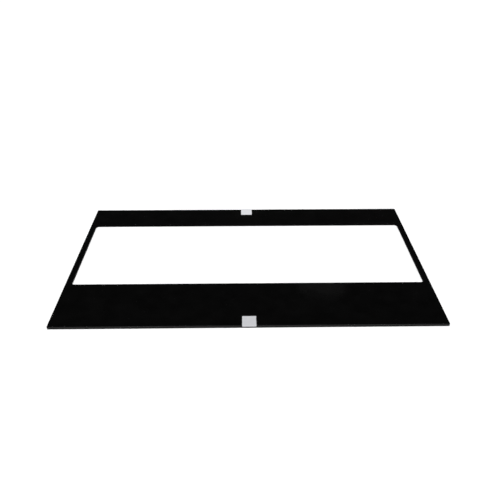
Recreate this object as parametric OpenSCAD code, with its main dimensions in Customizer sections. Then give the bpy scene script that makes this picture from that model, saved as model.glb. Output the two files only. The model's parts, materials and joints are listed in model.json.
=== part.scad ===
// Kick plate with a window cut-out, bonded to a door leaf with tape.
//
// The plate lies on its back. +Z is the side that faces the room, -Y is the edge
// nearest the floor once the plate is on the door, and +X runs across the door.
// The origin is the middle of the mounting plane, under the tape liners.
// From z = 0 upwards come the liners, the tape, the plate, the face film and the pull tabs.

/* [Plate] */
// Width across the door
plate_w = 864; // [700:1:1000]
// Height up the door
plate_h = 508; // [440:1:700]
// Thickness of the plate
plate_t = 6; // [3:0.5:8]
// Radius of the four outer corners
corner_r = 2.5; // [1.5:0.5:6]
// Depth and width of the bevel round the outside of the face
edge_bevel = 0.4; // [0.3:0.1:1]

/* [Window] */
// Band of plate below the window
bottom_band = 151; // [110:0.5:180]
// Band of plate above the window
top_band = 84; // [76:0.5:110]
// Band of plate at each side of the window
side_band = 13.5; // [12:0.5:40]
// Radius of the window's corners
window_r = 8; // [3:0.5:12]
// Depth and width of the bevel round the window
window_bevel = 0.3; // [0.1:0.1:1]

/* [Face film] */
// Thickness of the clear film over the face
film_t = 0.1; // [0.05:0.05:0.2]

/* [Pull tabs] */
// Width of each tab
tab_w = 30.5; // [20:0.5:40]
// Length of each tab
tab_l = 34; // [25:0.5:45]
// How far each tab hangs past the edge of the plate
tab_overhang = 3; // [0:0.5:8]
// Thickness of each tab
tab_t = 0.25; // [0.15:0.05:0.5]
// Corner radius of each tab
tab_r = 1.5; // [0.5:0.5:4]
// Place of the top tab, measured from the middle of its edge
top_tab_x = -1.5; // [-20:0.5:20]

/* [Mounting tape] */
// Width of the tapes that run across the door
tape_w = 25; // [15:1:28]
// Thickness of the foam tape
tape_t = 1.1; // [0.8:0.1:2]
// Distance from a tape to the long edge or the window beside it
tape_inset = 8; // [4:1:9]
// Distance from a side tape to each edge of its band
side_inset = 2.5; // [1.5:0.5:2.5]
// Thickness of the release liner
liner_t = 0.15; // [0.1:0.05:0.3]
// How far a liner runs past each end of its tape, for a finger to lift
liner_pull = 8; // [4:1:12]
// Corner radius of the liner's lifting ends
liner_r = 3; // [1:0.5:3]

/* [Hidden] */
$fn = 64;
cut = 1; // how far a cutter stands out of what it cuts

window_w = plate_w - 2 * side_band;
window_h = plate_h - bottom_band - top_band;
window_bottom = bottom_band - plate_h / 2;
window_top = plate_h / 2 - top_band;
window_y = (window_bottom + window_top) / 2;

// Heights of the layers
tape_z = liner_t;
plate_z = tape_z + tape_t;
film_z = plate_z + plate_t;
tab_z = film_z + film_t;

// Lines that the tapes lie on
bottom_edge_y = -plate_h / 2 + tape_inset + tape_w / 2;
sill_y = window_bottom - tape_inset - tape_w / 2;
bottom_middle_y = (bottom_edge_y + sill_y) / 2;
head_y = window_top + tape_inset + tape_w / 2;
top_edge_y = plate_h / 2 - tape_inset - tape_w / 2;
side_x = plate_w / 2 - side_band / 2;

side_tape_w = side_band - 2 * side_inset;
cross_liner_l = window_w - 2 * side_inset;
cross_tape_l = cross_liner_l - 2 * liner_pull;
side_liner_l = plate_h - 4 * side_inset;
side_tape_l = side_liner_l - 2 * liner_pull;

// A rectangle with round corners, centred on the origin
module rounded_rect(w, h, r) {
    square([w - 2 * r, h], center = true);
    square([w, h - 2 * r], center = true);
    for (x = [-1, 1], y = [-1, 1])
        translate([x * (w / 2 - r), y * (h / 2 - r)]) circle(r);
}

// The outline of a wall that leans outwards by flare as it rises
module leaning_profile(w, height, flare) {
    polygon([[-w / 2, 0], [w / 2, 0], [w / 2 + flare, height], [-w / 2 - flare, height]]);
}

// A slab on a rounded rectangle, growing by flare on every side as it rises
module flared_slab(w, h, r, height, flare) {
    rotate([90, 0, 0])
        linear_extrude(h - 2 * r, center = true) leaning_profile(w, height, flare);
    rotate([90, 0, 90])
        linear_extrude(w - 2 * r, center = true) leaning_profile(h, height, flare);
    for (x = [-1, 1], y = [-1, 1])
        translate([x * (w / 2 - r), y * (h / 2 - r), 0])
            cylinder(h = height, r1 = r, r2 = r + flare);
}

// The window's outline, grown by a margin on every side
module window_outline(grow = 0) {
    translate([0, window_y])
        rounded_rect(window_w + 2 * grow, window_h + 2 * grow, window_r + grow);
}

// The outline of the flat of the face: the plate less its bevel
module face_outline() {
    rounded_rect(plate_w - 2 * edge_bevel, plate_h - 2 * edge_bevel, corner_r - edge_bevel);
}

// The plate before its window is cut, with a bevel round its face
module blank() {
    linear_extrude(plate_t - edge_bevel) rounded_rect(plate_w, plate_h, corner_r);
    translate([0, 0, plate_t - edge_bevel])
        flared_slab(plate_w, plate_h, corner_r, edge_bevel, -edge_bevel);
}

// The window right through the plate, opening out at the face
module window_cutter() {
    translate([0, 0, -cut]) linear_extrude(plate_t + 2 * cut) window_outline();
    translate([0, window_y, plate_t - window_bevel])
        flared_slab(window_w, window_h, window_r, window_bevel + cut, window_bevel + cut);
}

module plate() {
    color([0.01, 0.01, 0.011])
        translate([0, 0, plate_z])
            difference() {
                blank();
                window_cutter();
            }
}

// Clear protective film on the flat of the face, cut to the plate and its window
module face_film() {
    color([0.03, 0.03, 0.035, 0.4])
        translate([0, 0, film_z])
            linear_extrude(film_t)
                difference() {
                    face_outline();
                    window_outline(window_bevel);
                }
}

// A tab on the film, reaching past a long edge of the plate, at x along that edge.
// toward is 1 for the top edge and -1 for the bottom edge.
module pull_tab(toward, x) {
    tab_y = toward * (plate_h / 2 + tab_overhang - tab_l / 2);
    color([0.74, 0.745, 0.76])
        translate([x, tab_y, tab_z])
            linear_extrude(tab_t)
                rounded_rect(tab_w, tab_l, tab_r);
}

// A strip of foam tape under the plate, centred at [x, y]
module tape(x, y, length_x, length_y) {
    color([0.16, 0.16, 0.17])
        translate([x - length_x / 2, y - length_y / 2, tape_z])
            cube([length_x, length_y, tape_t]);
}

// The release liner under a strip of tape, centred at [x, y]
module liner(x, y, length_x, length_y) {
    color([0.86, 0.80, 0.62])
        translate([x, y, 0])
            linear_extrude(liner_t)
                rounded_rect(length_x, length_y, liner_r);
}

module cross_tape(y) { tape(0, y, cross_tape_l, tape_w); }

module side_tape(x) { tape(x, 0, side_tape_w, side_tape_l); }

module cross_liner(y) { liner(0, y, cross_liner_l, tape_w); }

module side_liner(x) { liner(x, 0, side_tape_w, side_liner_l); }

plate();
face_film();
pull_tab(-1, 0);  // bottom_pull_tab
pull_tab(1, top_tab_x);  // top_pull_tab

cross_tape(bottom_edge_y);  // tape_bottom_edge
cross_tape(bottom_middle_y);  // tape_bottom_middle
cross_tape(sill_y);  // tape_sill
cross_tape(head_y);  // tape_head
cross_tape(top_edge_y);  // tape_top_edge
side_tape(-side_x);  // tape_left
side_tape(side_x);  // tape_right

cross_liner(bottom_edge_y);  // liner_bottom_edge
cross_liner(bottom_middle_y);  // liner_bottom_middle
cross_liner(sill_y);  // liner_sill
cross_liner(head_y);  // liner_head
cross_liner(top_edge_y);  // liner_top_edge
side_liner(-side_x);  // liner_left
side_liner(side_x);  // liner_right
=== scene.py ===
"""Kick plate with a window cut-out: the looks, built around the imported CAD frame."""
import json
import math
import random

import bmesh
import bpy
from mathutils import Matrix, Vector, noise


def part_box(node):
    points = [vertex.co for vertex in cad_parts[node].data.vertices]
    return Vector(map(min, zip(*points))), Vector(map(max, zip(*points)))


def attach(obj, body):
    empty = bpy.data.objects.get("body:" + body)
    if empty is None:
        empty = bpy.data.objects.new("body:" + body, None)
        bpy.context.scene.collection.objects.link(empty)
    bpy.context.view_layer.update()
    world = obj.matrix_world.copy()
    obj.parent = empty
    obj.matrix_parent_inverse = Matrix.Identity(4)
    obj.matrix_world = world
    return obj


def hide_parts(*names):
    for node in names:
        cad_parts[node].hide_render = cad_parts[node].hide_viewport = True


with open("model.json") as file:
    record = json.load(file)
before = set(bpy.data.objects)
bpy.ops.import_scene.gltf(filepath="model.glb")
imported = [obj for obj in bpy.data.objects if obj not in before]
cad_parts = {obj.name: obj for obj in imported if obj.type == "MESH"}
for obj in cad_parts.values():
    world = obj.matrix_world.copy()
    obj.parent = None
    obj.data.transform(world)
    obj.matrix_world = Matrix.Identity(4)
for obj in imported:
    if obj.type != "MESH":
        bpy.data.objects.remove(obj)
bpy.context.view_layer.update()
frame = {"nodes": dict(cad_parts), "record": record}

MM = 0.001
BODY = "root"
SNAP = 0.01 * MM  # points closer than this are in line
CORNER_STEPS = 6  # mesh steps round a quarter circle
SHARP_ANGLE = 35.0  # degrees between faces that stay a crisp edge
WELD_DISTANCE = 0.001 * MM
PLATE_SOFT_EDGE = 0.12 * MM
TAPE_SOFT_EDGE = 0.08 * MM
FACING_UP = 0.9  # the least Z of the normal of a face that looks up
RIM_SHARE = 0.01  # the rim's depth, as a share of the plate's half size

# Camera, in the row frame
CAMERA_PLACE = (-0.0136, -1.1365, 0.7825)
CAMERA_PITCH = 33.39  # degrees below the horizon
CAMERA_YAW = 0.95  # degrees from +Y towards +X
CAMERA_ROLL = 0.15  # degrees
CAMERA_LENS = 39.22  # mm, for a frame CAMERA_SENSOR mm wide
CAMERA_SENSOR = 36.0
CAMERA_SEES = (0.01, 200.0)  # nearest and furthest

# Studio
FLOOR_HALF = 40.0  # half the floor's side
FLOOR_GAP = 0.02 * MM  # between the liners and the floor
FLOOR_GLOW = 0.24  # light that comes up through the table
BACKDROP = 1.1  # the room as the camera sees it
ROOM_WHITE = 0.6  # the low walls, as the object sees them
ROOM_DARK = 0.02  # the upper walls and ceiling, which the face mirrors
WHITE_UP_TO = 2.0  # degrees above the horizon
DARK_FROM = 25.0

# Face film
FILM_STEP = 6 * MM  # side of the film's mesh cells
FILM_LIFT = 0.01 * MM  # air under the film where it lies closest
FILM_WAVE = 0.05 * MM  # height of the low waves in it
FILM_WAVE_LENGTH = 70 * MM
FILM_SEED = 11
BUBBLE_COUNT = 26
BUBBLE_CROWDING = 2.2  # how strongly they gather in the band below the window
BUBBLE_RADIUS = (9 * MM, 17 * MM)
BUBBLE_HEIGHT = (0.03 * MM, 0.07 * MM)
TAB_CLEARANCE = 12 * MM  # the film flattens over this distance towards a tab

# Pull tabs
TAB_STEP = 1.5 * MM
TAB_DROOP = 0.2 * MM  # how far the free end sinks
TAB_CRINKLE = 0.03 * MM
TAB_CRINKLE_LENGTH = 8 * MM

# Release liners
LINER_STEP = 6 * MM
LINER_CURL = 0.5 * MM  # how far the free ends rise


# ---------------------------------------------------------------- node helpers

class Shader:
    """A material with one Principled shader, and short ways to add nodes to it."""

    def __init__(self, name):
        self.material = bpy.data.materials.new(name)
        self.material.use_nodes = True
        self.nodes = self.material.node_tree.nodes
        self.links = self.material.node_tree.links
        self.nodes.clear()
        output = self.nodes.new("ShaderNodeOutputMaterial")
        self.bsdf = self.nodes.new("ShaderNodeBsdfPrincipled")
        self.links.new(self.bsdf.outputs["BSDF"], output.inputs["Surface"])
        self.place = self.nodes.new("ShaderNodeTexCoord").outputs["Object"]
        self.normal = None

    def set(self, **values):
        for name, value in values.items():
            self.bsdf.inputs[name.replace("_", " ")].default_value = value
        return self

    def drive(self, socket, source):
        self.links.new(source, self.bsdf.inputs[socket])

    def put(self, socket, value):
        """Puts a number or another node's output into a node's input."""
        if isinstance(value, bpy.types.NodeSocket):
            self.links.new(value, socket)
        elif socket.type == "RGBA":
            socket.default_value = (value, value, value, 1.0)
        else:
            socket.default_value = value

    def stretched(self, x=1.0, y=1.0, z=1.0, turn=0.0):
        """The object's coordinates, turned about Z by degrees and scaled along each axis."""
        node = self.nodes.new("ShaderNodeMapping")
        node.vector_type = "TEXTURE"
        node.inputs["Rotation"].default_value = (0.0, 0.0, math.radians(turn))
        node.inputs["Scale"].default_value = (1 / x, 1 / y, 1 / z)
        self.links.new(self.place, node.inputs["Vector"])
        return node.outputs["Vector"]

    def noise(self, scale, detail, roughness=0.5, vector=None):
        node = self.nodes.new("ShaderNodeTexNoise")
        node.inputs["Scale"].default_value = scale
        node.inputs["Detail"].default_value = detail
        node.inputs["Roughness"].default_value = roughness
        self.links.new(vector or self.place, node.inputs["Vector"])
        return node.outputs["Fac"]

    def cells(self, scale):
        node = self.nodes.new("ShaderNodeTexVoronoi")
        node.inputs["Scale"].default_value = scale
        self.links.new(self.place, node.inputs["Vector"])
        return node.outputs["Distance"]

    def ramp(self, source, *stops):
        """Grey or colour stops as (place, value)."""
        node = self.nodes.new("ShaderNodeValToRGB")
        while len(node.color_ramp.elements) < len(stops):
            node.color_ramp.elements.new(0.5)
        for element, (place, value) in zip(node.color_ramp.elements, stops):
            element.position = place
            colour = value if isinstance(value, tuple) else (value,) * 3
            element.color = (*colour, 1.0)
        self.links.new(source, node.inputs["Fac"])
        return node.outputs["Color"]

    def math(self, operation, a, b):
        node = self.nodes.new("ShaderNodeMath")
        node.operation = operation
        self.put(node.inputs[0], a)
        self.put(node.inputs[1], b)
        return node.outputs["Value"]

    def mix(self, share, a, b):
        """Colour a where share is 0 and b where it is 1."""
        node = self.nodes.new("ShaderNodeMix")
        node.data_type = "RGBA"
        self.put(node.inputs[0], share)
        self.put(node.inputs[6], a)
        self.put(node.inputs[7], b)
        return node.outputs[2]

    def bump(self, height, distance, strength):
        """Adds a bump over the ones added before."""
        node = self.nodes.new("ShaderNodeBump")
        node.inputs["Strength"].default_value = strength
        node.inputs["Distance"].default_value = distance
        self.links.new(height, node.inputs["Height"])
        if self.normal:
            self.links.new(self.normal, node.inputs["Normal"])
        self.normal = node.outputs["Normal"]
        self.links.new(self.normal, self.bsdf.inputs["Normal"])

    def upward(self):
        """1 on faces that look up and 0 on the sides."""
        geometry = self.nodes.new("ShaderNodeNewGeometry")
        split = self.nodes.new("ShaderNodeSeparateXYZ")
        self.links.new(geometry.outputs["Normal"], split.inputs[0])
        return self.math("GREATER_THAN", split.outputs["Z"], FACING_UP)

    def outside(self, half_x, half_y):
        """1 on the outer rim of a plate of this half size and 0 further in."""
        split = self.nodes.new("ShaderNodeSeparateXYZ")
        self.links.new(self.place, split.inputs[0])
        reach_x = self.math("DIVIDE", self.math("ABSOLUTE", split.outputs["X"], 0.0), half_x)
        reach_y = self.math("DIVIDE", self.math("ABSOLUTE", split.outputs["Y"], 0.0), half_y)
        return self.math("GREATER_THAN", self.math("MAXIMUM", reach_x, reach_y), 1 - RIM_SHARE)

    def scratches(self, turn):
        """1 in a few long hairlines that run at the given angle, and 0 elsewhere."""
        lines = self.noise(1, 2, vector=self.stretched(9, 900, 1, turn))
        return self.ramp(lines, (0.68, 0.0), (0.74, 1.0))


# ---------------------------------------------------------------- materials

def black_plastic():
    """Glossy black sheet, satin round its outer edge and dull where the window is cut; the
    window's walls carry painted shade, a near-black copy of the edge colour.
    """
    s = Shader("black_plastic")
    low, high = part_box("plate")
    rim = s.outside((high.x - low.x) / 2, (high.y - low.y) / 2)
    face = s.upward()
    cutter_marks = s.noise(700, 3, vector=s.stretched(1, 1, 0.04))
    outer_edge_colour = s.ramp(cutter_marks, (0.3, 0.009), (0.7, 0.014))
    # painted shade: the window's walls get a near-black copy of the outer edge colour, so they
    # look unlit
    wall_painted_shade = s.ramp(cutter_marks, (0.3, 0.0006), (0.7, 0.0012))
    tint = s.ramp(s.noise(22, 4), (0.3, 0.0022), (0.7, 0.0034))
    s.drive("Base Color", s.mix(face, s.mix(rim, wall_painted_shade, outer_edge_colour), tint))
    satin = s.ramp(cutter_marks, (0.3, 0.34), (0.7, 0.5))
    dull = s.ramp(cutter_marks, (0.3, 0.8), (0.7, 0.95))
    polish = s.ramp(s.noise(14, 5, 0.6), (0.35, 0.05), (0.7, 0.10))
    s.drive("Roughness", s.mix(face, s.mix(rim, dull, satin), polish))
    s.bump(s.math("MULTIPLY", cutter_marks, s.math("SUBTRACT", 1.0, face)), 0.02 * MM, 0.4)
    return s.set(IOR=1.49, Specular_IOR_Level=0.04).material


def clear_film():
    """Thin clear film: a gloss over the black, with handling marks in it."""
    s = Shader("clear_film")
    s.drive("Base Color", s.ramp(s.noise(30, 3), (0.3, 0.0018), (0.7, 0.0036)))
    haze = s.ramp(s.noise(45, 5, 0.6), (0.35, 0.07), (0.7, 0.13))
    marks = s.math("MAXIMUM", s.scratches(12), s.scratches(-38))
    s.drive("Roughness", s.mix(marks, haze, 0.34))
    s.bump(s.noise(60, 1), 0.02 * MM, 0.5)
    s.bump(s.noise(260, 2), 0.003 * MM, 0.5)
    return s.set(IOR=1.49, Alpha=0.5).material


def grey_vinyl():
    """Satin light grey vinyl with a fine calendered grain."""
    s = Shader("grey_vinyl")
    cloud = s.noise(120, 4)
    s.drive("Base Color", s.ramp(cloud, (0.3, (0.632, 0.638, 0.664)),
                                 (0.7, (0.664, 0.670, 0.696))))
    grain = s.noise(1500, 3, vector=s.stretched(1, 0.5, 1))
    s.drive("Roughness", s.ramp(grain, (0.3, 0.40), (0.7, 0.55)))
    s.bump(grain, 0.02 * MM, 0.3)
    return s.set(IOR=1.5).material


def foam_tape():
    """Black closed-cell foam."""
    s = Shader("foam_tape")
    pores = s.cells(1400)
    s.drive("Base Color", s.ramp(pores, (0.0, 0.010), (0.6, 0.032)))
    s.drive("Roughness", s.ramp(s.noise(700, 3), (0.3, 0.75), (0.7, 0.95)))
    s.bump(pores, 0.15 * MM, 0.6)
    return s.set(IOR=1.45).material


def release_liner():
    """Amber glassine paper."""
    s = Shader("release_liner")
    fibres = s.noise(300, 5, 0.65, s.stretched(0.4, 1, 1))
    s.drive("Base Color", s.ramp(fibres, (0.3, (0.60, 0.50, 0.30)), (0.7, (0.74, 0.64, 0.42))))
    s.drive("Roughness", s.ramp(s.noise(90, 3), (0.3, 0.30), (0.7, 0.45)))
    s.bump(fibres, 0.02 * MM, 0.4)
    return s.set(IOR=1.45).material


def table_top():
    """White table lit from below."""
    s = Shader("table_top")
    grain = s.noise(25, 4)
    s.drive("Base Color", s.ramp(grain, (0.3, 0.88), (0.7, 0.92)))
    s.bump(grain, 0.2 * MM, 0.05)
    s.set(Emission_Color=(1, 1, 1, 1), Emission_Strength=FLOOR_GLOW)
    return s.set(Roughness=0.9, IOR=1.3).material


MATERIALS = {make.__name__: make() for make in
             (black_plastic, clear_film, grey_vinyl, foam_tape, release_liner)}
SLOT_OF = {part["node"]: part["material_slot"] for part in frame["record"]["subparts"]}


# ---------------------------------------------------------------- mesh helpers

def spread(start, end, step):
    """Even places from start to end, no further apart than step."""
    count = max(1, math.ceil((end - start) / step))
    return [start + (end - start) * i / count for i in range(count + 1)]


def strip_rows(length, width, radius, step):
    """Rows of (u, v) points across a rounded strip; u runs along it and v across it."""
    straight = length / 2 - radius
    round_end = [straight + radius * math.sin(math.radians(90 * (i + 1) / CORNER_STEPS))
                 for i in range(CORNER_STEPS)]
    places = [-u for u in reversed(round_end)] + spread(-straight, straight, step) + round_end
    count = math.ceil(width / step)
    rows = []
    for u in places:
        past = max(0.0, abs(u) - straight)
        half = width / 2 - radius + math.sqrt(max(0.0, radius ** 2 - past ** 2))
        rows.append([(u, -half + 2 * half * i / count) for i in range(count + 1)])
    return rows


def outline_of(points):
    """The rounded rectangle that the points lie on, as (x0, y0, x1, y1, radius)."""
    xs, ys = zip(*points)
    right, top = max(xs), max(ys)
    straight_end = max(y for x, y in points if right - x < SNAP)
    return min(xs), min(ys), right, top, top - straight_end


def corner_radius(node):
    """The radius of a CAD node's corners, seen from above."""
    return outline_of([(v.co.x, v.co.y) for v in frame["nodes"][node].data.vertices])[4]


def loop_round(outline, count_x, count_y):
    """Points once round a rounded rectangle, with the same counts for every outline."""
    x0, y0, x1, y1, radius = outline
    centres = ((x1 - radius, y0 + radius), (x1 - radius, y1 - radius),
               (x0 + radius, y1 - radius), (x0 + radius, y0 + radius))
    arcs = []
    for corner, (x, y) in enumerate(centres):
        angles = [math.radians(90 * (corner - 1 + i / CORNER_STEPS))
                  for i in range(CORNER_STEPS + 1)]
        arcs.append([(x + radius * math.cos(a), y + radius * math.sin(a)) for a in angles])
    loop = []
    for corner, arc in enumerate(arcs):
        (xa, ya), (xb, yb) = arc[-1], arcs[(corner + 1) % 4][0]
        count = (count_y, count_x)[corner % 2]
        loop += arc + [(xa + (xb - xa) * i / count, ya + (yb - ya) * i / count)
                       for i in range(1, count)]
    return loop


def thin_solid(name, rows, thickness, place, ring=False):
    """A closed sheet over rows of points; place gives the underside's point for each of them."""
    bm = bmesh.new()
    under = [[bm.verts.new(place(u, v)) for u, v in row] for row in rows]
    over = [[bm.verts.new(vert.co + Vector((0, 0, thickness))) for vert in row] for row in under]
    width = len(rows[0])
    spans = [(c, (c + 1) % width) for c in range(width if ring else width - 1)]
    for r in range(len(rows) - 1):
        for a, b in spans:
            for side in (under, over):
                bm.faces.new((side[r][a], side[r][b], side[r + 1][b], side[r + 1][a]))
        if not ring:
            for c in (0, -1):
                bm.faces.new((under[r][c], under[r + 1][c], over[r + 1][c], over[r][c]))
    for r in (0, -1):
        for a, b in spans:
            bm.faces.new((under[r][a], under[r][b], over[r][b], over[r][a]))
    bmesh.ops.recalc_face_normals(bm, faces=bm.faces)
    mesh = bpy.data.meshes.new(name)
    bm.to_mesh(mesh)
    bm.free()
    mesh.shade_smooth()
    mesh.set_sharp_from_angle(angle=math.radians(SHARP_ANGLE))
    return mesh


def add_piece(name, mesh, node):
    """A piece that stands for a CAD node and takes its finish."""
    piece = bpy.data.objects.new(name, mesh)
    bpy.context.scene.collection.objects.link(piece)
    mesh.materials.append(MATERIALS[SLOT_OF[node]])
    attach(piece, BODY)
    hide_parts(node)


# ---------------------------------------------------------------- pieces

def soften(node, width):
    """Rounds the crisp edges of a CAD node."""
    weld = node.modifiers.new("weld", "WELD")
    weld.merge_threshold = WELD_DISTANCE
    bevel = node.modifiers.new("soft_edges", "BEVEL")
    bevel.width = width
    bevel.segments = 2
    bevel.limit_method = "ANGLE"
    bevel.angle_limit = math.radians(SHARP_ANGLE)
    bevel.harden_normals = True


def finish_cad_nodes():
    """Materials for every CAD node, and soft edges for the ones that show."""
    for name, slot in SLOT_OF.items():
        for material_slot in frame["nodes"][name].material_slots:
            material_slot.material = MATERIALS[slot]
    soften(frame["nodes"]["plate"], PLATE_SOFT_EDGE)
    for name in SLOT_OF:
        if name.startswith("tape_"):
            soften(frame["nodes"][name], TAPE_SOFT_EDGE)


def away_from(boxes, x, y):
    """0 inside a box, rising to 1 over TAB_CLEARANCE round it."""
    share = 1.0
    for low, high in boxes:
        gap_x = max(low.x - x, x - high.x, 0.0)
        gap_y = max(low.y - y, y - high.y, 0.0)
        share = min(share, math.hypot(gap_x, gap_y) / TAB_CLEARANCE)
    return share


def half_noise(x, y, length):
    """Smooth noise about 0.5, with waves of about this length."""
    return 0.5 + 0.5 * noise.noise(Vector((x, y, 0)) / length)


def make_bubbles(outer, rng):
    """Trapped air as (x, y, radius, height), most of it in the band below the window."""
    x0, y0, x1, y1, _ = outer
    bubbles = []
    for _ in range(BUBBLE_COUNT):
        x = rng.uniform(x0, x1)
        y = y0 + (y1 - y0) * rng.random() ** BUBBLE_CROWDING
        bubbles.append((x, y, rng.uniform(*BUBBLE_RADIUS), rng.uniform(*BUBBLE_HEIGHT)))
    return bubbles


def film_relief(x, y, bubbles, tabs):
    """How far the film stands off the face."""
    wave = FILM_WAVE * half_noise(x, y, FILM_WAVE_LENGTH)
    dome = 0.0
    for bubble_x, bubble_y, radius, height in bubbles:
        reach = math.hypot(x - bubble_x, y - bubble_y) / radius
        if reach < 1.0:
            dome = max(dome, height * (1.0 - reach ** 2) ** 2)
    return FILM_LIFT + (wave + dome) * away_from(tabs, x, y)


def add_film():
    """The face film, lying over the plate in low waves with a little air under it."""
    low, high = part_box("face_film")
    points = [(v.co.x, v.co.y) for v in frame["nodes"]["face_film"].data.vertices]
    rim = (high.x - low.x) / 100  # deeper than the outer corners, narrower than the side bands
    outer = outline_of([p for p in points if high.x - abs(p[0]) < rim])
    inner = outline_of([p for p in points if high.x - abs(p[0]) >= rim])
    count_x = math.ceil((high.x - low.x) / FILM_STEP)
    count_y = math.ceil((high.y - low.y) / FILM_STEP)
    outer_loop = loop_round(outer, count_x, count_y)
    inner_loop = loop_round(inner, count_x, count_y)
    rows = []
    for t in spread(0.0, 1.0, FILM_STEP / (inner[1] - outer[1])):
        rows.append([(xi + (xo - xi) * t, yi + (yo - yi) * t)
                     for (xi, yi), (xo, yo) in zip(inner_loop, outer_loop)])
    bubbles = make_bubbles(outer, random.Random(FILM_SEED))
    tabs = [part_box("bottom_pull_tab"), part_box("top_pull_tab")]
    thickness = high.z - low.z - 2 * FILM_LIFT
    mesh = thin_solid("protective_film", rows, thickness,
                      lambda x, y: (x, y, low.z + film_relief(x, y, bubbles, tabs)), ring=True)
    add_piece("protective_film", mesh, "face_film")


def add_tab(name, node, toward):
    """A pull tab whose free end sinks past the plate's edge; toward is 1 for +Y and -1 for -Y."""
    low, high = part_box(node)
    plate_low, plate_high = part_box("plate")
    edge = plate_high.y if toward > 0 else plate_low.y
    tip = high.y if toward > 0 else low.y
    middle = (low + high) / 2

    def place(u, v):
        x, y = middle.x + v, middle.y + toward * u
        past = max(0.0, toward * (y - edge) / abs(tip - edge))
        crinkle = TAB_CRINKLE * half_noise(x, y, TAB_CRINKLE_LENGTH)
        return x, y, low.z + crinkle - TAB_DROOP * past ** 2

    rows = strip_rows(high.y - low.y, high.x - low.x, corner_radius(node), TAB_STEP)
    add_piece(name, thin_solid(name, rows, high.z - low.z - TAB_CRINKLE, place), node)


def add_liner(name, node, tape):
    """A release liner whose free ends curl up past its tape."""
    low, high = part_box(node)
    tape_low, tape_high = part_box(tape)
    size, middle = high - low, (low + high) / 2
    along = 0 if size.x > size.y else 1
    across = 1 - along
    held = (tape_high - tape_low)[along] / 2

    def place(u, v):
        past = max(0.0, abs(u) - held) / (size[along] / 2 - held)
        point = Vector((0.0, 0.0, low.z + LINER_CURL * past ** 2))
        point[along] = middle[along] + u
        point[across] = middle[across] + v
        return point

    rows = strip_rows(size[along], size[across], corner_radius(node), LINER_STEP)
    add_piece(name, thin_solid(name, rows, size.z, place), node)


# ---------------------------------------------------------------- studio

def add_camera():
    """The camera that sees the plate from the front and above."""
    data = bpy.data.cameras.new("camera")
    data.lens = CAMERA_LENS
    data.sensor_width = CAMERA_SENSOR
    data.clip_start, data.clip_end = CAMERA_SEES
    camera = bpy.data.objects.new("camera", data)
    camera.matrix_world = (
        Matrix.Translation(CAMERA_PLACE)
        @ Matrix.Rotation(math.radians(-CAMERA_YAW), 4, "Z")
        @ Matrix.Rotation(math.radians(90 - CAMERA_PITCH), 4, "X")
        @ Matrix.Rotation(math.radians(CAMERA_ROLL), 4, "Z")
    )
    bpy.context.scene.collection.objects.link(camera)
    bpy.context.scene.camera = camera


def add_floor():
    """A wide flat table under the object."""
    mesh = bpy.data.meshes.new("floor")
    corners = [(x * FLOOR_HALF, y * FLOOR_HALF, -FLOOR_GAP)
               for x, y in ((-1, -1), (1, -1), (1, 1), (-1, 1))]
    mesh.from_pydata(corners, [], [(0, 1, 2, 3)])
    floor = bpy.data.objects.new("floor", mesh)
    mesh.materials.append(table_top())
    bpy.context.scene.collection.objects.link(floor)


def add_sun(name, strength, spread_angle, elevation, azimuth):
    """A distant soft light. At azimuth 0 it stands behind the object, towards +Y."""
    data = bpy.data.lights.new(name, "SUN")
    data.energy = strength
    data.angle = math.radians(spread_angle)
    light = bpy.data.objects.new(name, data)
    light.matrix_world = (Matrix.Rotation(math.radians(-azimuth), 4, "Z")
                          @ Matrix.Rotation(math.radians(elevation - 90), 4, "X"))
    bpy.context.scene.collection.objects.link(light)


def add_aimed(data, place, aim):
    """Puts a lamp in the room, unseen by the camera."""
    light = bpy.data.objects.new(data.name, data)
    direction = Vector(aim) - Vector(place)
    light.matrix_world = (Matrix.Translation(place)
                          @ direction.to_track_quat("-Z", "Y").to_matrix().to_4x4())
    light.visible_camera = False
    bpy.context.scene.collection.objects.link(light)


def add_panel(name, power, width, depth, place, aim):
    """A soft rectangular light."""
    data = bpy.data.lights.new(name, "AREA")
    data.energy = power
    data.shape = "RECTANGLE"
    data.size, data.size_y = width, depth
    add_aimed(data, place, aim)


def add_spot(name, power, cone, place, aim):
    """A narrow soft-edged light; cone is its full angle in degrees."""
    data = bpy.data.lights.new(name, "SPOT")
    data.energy = power
    data.spot_size = math.radians(cone)
    data.spot_blend = 0.5
    data.shadow_soft_size = 0.05
    add_aimed(data, place, aim)


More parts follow.
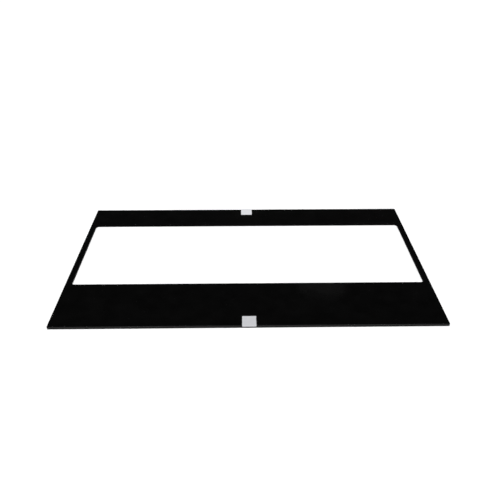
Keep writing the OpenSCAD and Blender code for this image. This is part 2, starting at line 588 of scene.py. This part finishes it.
def add_world():
    """A room that is white low down and dark above, seen as plain white by the camera."""
    world = bpy.data.worlds.new("studio")
    bpy.context.scene.world = world
    world.use_nodes = True
    nodes, links = world.node_tree.nodes, world.node_tree.links
    background = nodes["Background"]
    direction = nodes.new("ShaderNodeTexCoord").outputs["Generated"]
    split = nodes.new("ShaderNodeSeparateXYZ")
    ramp = nodes.new("ShaderNodeValToRGB")
    seen = nodes.new("ShaderNodeLightPath").outputs["Is Camera Ray"]
    mix = nodes.new("ShaderNodeMix")
    mix.data_type = "RGBA"
    links.new(direction, split.inputs[0])
    links.new(split.outputs["Z"], ramp.inputs["Fac"])
    links.new(seen, mix.inputs[0])
    links.new(ramp.outputs["Color"], mix.inputs[6])
    mix.inputs[7].default_value = (BACKDROP, BACKDROP, BACKDROP, 1.0)
    links.new(mix.outputs[2], background.inputs["Color"])
    stops = ((0.0, ROOM_WHITE), (math.sin(math.radians(WHITE_UP_TO)), ROOM_WHITE),
             (math.sin(math.radians(DARK_FROM)), ROOM_DARK), (1.0, ROOM_DARK))
    ramp.color_ramp.interpolation = "EASE"
    elements = ramp.color_ramp.elements
    while len(elements) < len(stops):
        elements.new(0.5)
    for element, (place, value) in zip(elements, stops):
        element.position = place
        element.color = (value, value, value, 1.0)


# ---------------------------------------------------------------- build

scene_view = bpy.context.scene.view_settings
scene_view.view_transform = "Standard"
scene_view.look = "None"

add_camera()
add_floor()
add_world()
add_sun("key", strength=3.75, spread_angle=20.0, elevation=48.0, azimuth=180.0)
add_spot("rear_fill", power=8.2, cone=9.0, place=(0.0, 0.10, 0.90), aim=(0.0, 0.24, 0.0))
add_panel("glint", power=0.021, width=0.35, depth=0.25,
          place=(0.607, 2.29, 1.76), aim=(0.173, -0.147, 0.0))

finish_cad_nodes()
add_film()
add_tab("bottom_tab", "bottom_pull_tab", -1)
add_tab("top_tab", "top_pull_tab", 1)
for liner_node in [name for name in SLOT_OF if name.startswith("liner_")]:
    strip = liner_node.removeprefix("liner_")
    add_liner("paper_" + strip, liner_node, "tape_" + strip)
